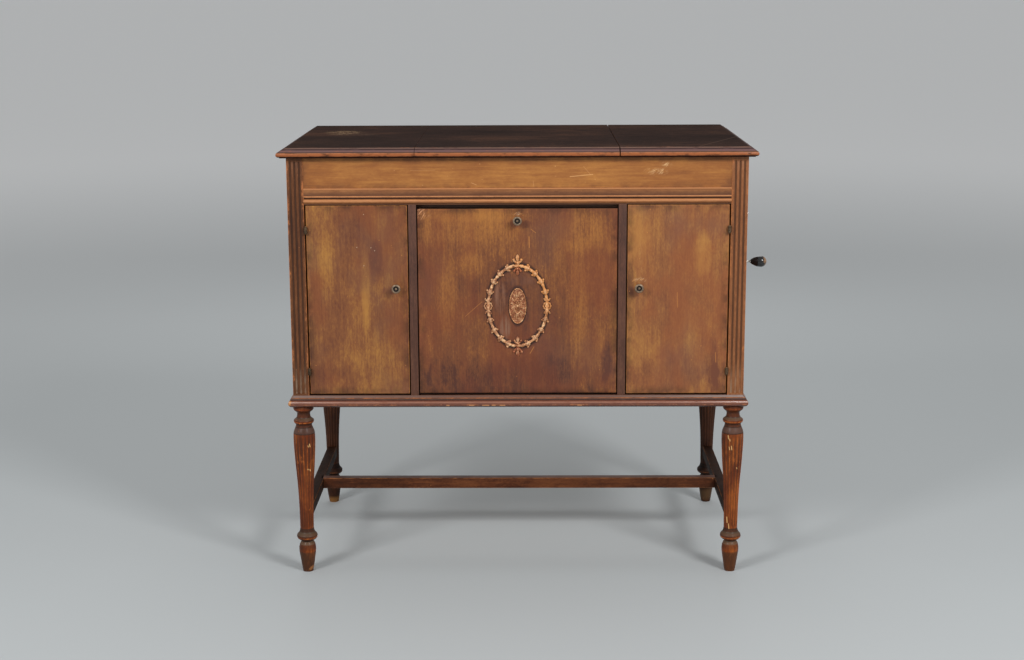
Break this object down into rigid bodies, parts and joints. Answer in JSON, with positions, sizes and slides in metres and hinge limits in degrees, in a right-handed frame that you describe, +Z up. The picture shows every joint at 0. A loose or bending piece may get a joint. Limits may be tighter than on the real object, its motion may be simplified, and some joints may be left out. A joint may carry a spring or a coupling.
{
  "type": "console gramophone cabinet",
  "caption": "Console gramophone on turned, fluted legs with H stretchers: lifting lid over the turntable, doors to the record racks, drop front before the horn.",
  "frame": {"origin": "middle of the foot of the whole, crank included, on the floor", "axes": "+X to the right as seen from the front, +Y to the back, +Z up"},
  "size_m": [1.0151, 0.5448, 0.8975],
  "materials": {
    "dark_top": "worn polish, almost black brown",
    "panel_wood": "mottled orange-brown veneer, satin",
    "frieze_wood": "lighter orange-brown veneer, satin",
    "moulding_wood": "dark red-brown stained, worn bright on its edges",
    "post_wood": "grey-brown stained, worn",
    "leg_wood": "red-brown stained, worn",
    "case_wood": "stained sides and partitions",
    "plain_wood": "unpolished inner boards",
    "black_wood": "black lacquered, polished",
    "ornament": "cast mounts, dull copper-gilt",
    "knob_metal": "dull grey bronze",
    "hinge_metal": "dark tarnished brass",
    "brass": "yellow brass, satin",
    "nickel": "nickel-plated",
    "steel": "bright turned steel",
    "iron": "black painted casting",
    "felt": "green felt"
  },
  "bodies": {
    "case": {"left_top": "dark_top", "right_top": "dark_top", "lid_fixed_fittings": "brass", "frieze_board": "frieze_wood", "head_moulding": "moulding_wood", "front_left_post": "post_wood", "front_right_post": "post_wood", "rear_posts": "post_wood", "left_side_panel": "case_wood", "right_side_panel": "case_wood", "back_panel": "plain_wood", "bottom_board": "plain_wood", "base_frame": "moulding_wood", "stiles": "post_wood", "left_partition": "plain_wood", "right_partition": "plain_wood", "front_hinge_fixed": "hinge_metal", "front_left_leg": "leg_wood", "front_right_leg": "leg_wood", "rear_left_leg": "leg_wood", "rear_right_leg": "leg_wood", "side_stretchers": "leg_wood", "cross_stretcher": "leg_wood", "crank_escutcheon": "brass", "motor_board": "case_wood", "cleats": "plain_wood", "motor_frame": "iron", "tone_arm_base": "brass", "needle_cups": "brass", "horn_boards": "plain_wood", "horn_elbow": "iron", "grille": "case_wood", "record_racks": "plain_wood", "screws": "brass"},
    "lid": {"lid": "dark_top", "lid_hinge_moving": "brass", "lid_stay": "brass"},
    "left_door": {"left_door": "panel_wood", "left_knob": "knob_metal", "left_door_hinges": "hinge_metal"},
    "right_door": {"right_door": "panel_wood", "right_knob": "knob_metal", "right_door_hinges": "hinge_metal"},
    "drop_front": {"drop_front": "panel_wood", "drop_front_knob": "knob_metal", "wreath": "ornament", "patera": "ornament"},
    "crank": {"crank": "nickel"},
    "crank_knob": {"crank_knob": "black_wood"},
    "turntable": {"turntable": "nickel", "turntable_felt": "felt", "spindle": "steel"},
    "spring_barrel": {"spring_barrel": "brass"},
    "winding_gear": {"winding_gear": "brass"},
    "intermediate_gear": {"intermediate_gear": "brass"},
    "governor": {"governor": "brass"},
    "tone_arm": {"tone_arm": "nickel"},
    "sound_box": {"sound_box": "nickel"},
    "brake_lever": {"brake_lever": "nickel"},
    "speed_regulator": {"speed_regulator": "nickel"}
  },
  "joints": [
    {"name": "lid_hinge", "type": "hinge", "parent": "case", "child": "lid", "pos_m": [-0.02505, 0.2697, 0.8738], "axis": [-1, 0, 0], "range_deg": [0, 72]},
    {"name": "left_door_hinge", "type": "hinge", "parent": "case", "child": "left_door", "pos_m": [-0.45325, -0.2572, 0.6], "axis": [0, 0, -1], "range_deg": [0, 105]},
    {"name": "right_door_hinge", "type": "hinge", "parent": "case", "child": "right_door", "pos_m": [0.40315, -0.2572, 0.6], "axis": [0, 0, 1], "range_deg": [0, 105]},
    {"name": "drop_front_hinge", "type": "hinge", "parent": "case", "child": "drop_front", "pos_m": [-0.02505, -0.2459, 0.3945], "axis": [1, 0, 0], "range_deg": [0, 90]},
    {"name": "crank_turn", "type": "hinge", "parent": "case", "child": "crank", "pos_m": [0.45735, -0.06, 0.7353], "axis": [1, 0, 0], "continuous": true},
    {"name": "crank_knob_spin", "type": "hinge", "parent": "crank", "child": "crank_knob", "pos_m": [0.47335, -0.06, 0.6323], "axis": [1, 0, 0], "continuous": true},
    {"name": "turntable_spin", "type": "hinge", "parent": "case", "child": "turntable", "pos_m": [-0.05505, -0.07, 0.79], "axis": [0, 0, -1], "continuous": true},
    {"name": "barrel_spin", "type": "hinge", "parent": "case", "child": "spring_barrel", "pos_m": [0.02495, -0.06, 0.7], "axis": [0, 0, -1], "continuous": true},
    {"name": "arbor_spin", "type": "hinge", "parent": "case", "child": "winding_gear", "pos_m": [0.02495, -0.06, 0.7], "axis": [0, 0, 1], "continuous": true},
    {"name": "intermediate_spin", "type": "hinge", "parent": "case", "child": "intermediate_gear", "pos_m": [-0.02194, -0.0524, 0.7], "axis": [0, 0, -1], "continuous": true},
    {"name": "governor_spin", "type": "hinge", "parent": "case", "child": "governor", "pos_m": [-0.12105, -0.0949, 0.6933], "axis": [1, 0, 0], "continuous": true},
    {"name": "tone_arm_swing", "type": "hinge", "parent": "case", "child": "tone_arm", "pos_m": [0.08995, 0.11, 0.7773], "axis": [0, 0, -1], "range_deg": [0, 31]},
    {"name": "sound_box_turn", "type": "hinge", "parent": "tone_arm", "child": "sound_box", "pos_m": [0.08995, 0.11, 0.8418], "axis": [-0.2079, 0.9781, 0], "range_deg": [0, 100]},
    {"name": "brake_swing", "type": "hinge", "parent": "case", "child": "brake_lever", "pos_m": [0.09772, -0.1582, 0.7773], "axis": [0, 0, 1], "range_deg": [0, 35]},
    {"name": "speed_set", "type": "hinge", "parent": "case", "child": "speed_regulator", "pos_m": [-0.18505, -0.2052, 0.7773], "axis": [0, 0, -1], "range_deg": [0, 15]}
  ],
  "couplings": [
    {"joint": "intermediate_spin", "follows": "turntable_spin", "ratio": -0.25},
    {"joint": "barrel_spin", "follows": "turntable_spin", "ratio": 0.046875},
    {"joint": "governor_spin", "follows": "turntable_spin", "ratio": 12},
    {"joint": "arbor_spin", "follows": "crank_turn", "ratio": 0.33333}
  ]
}
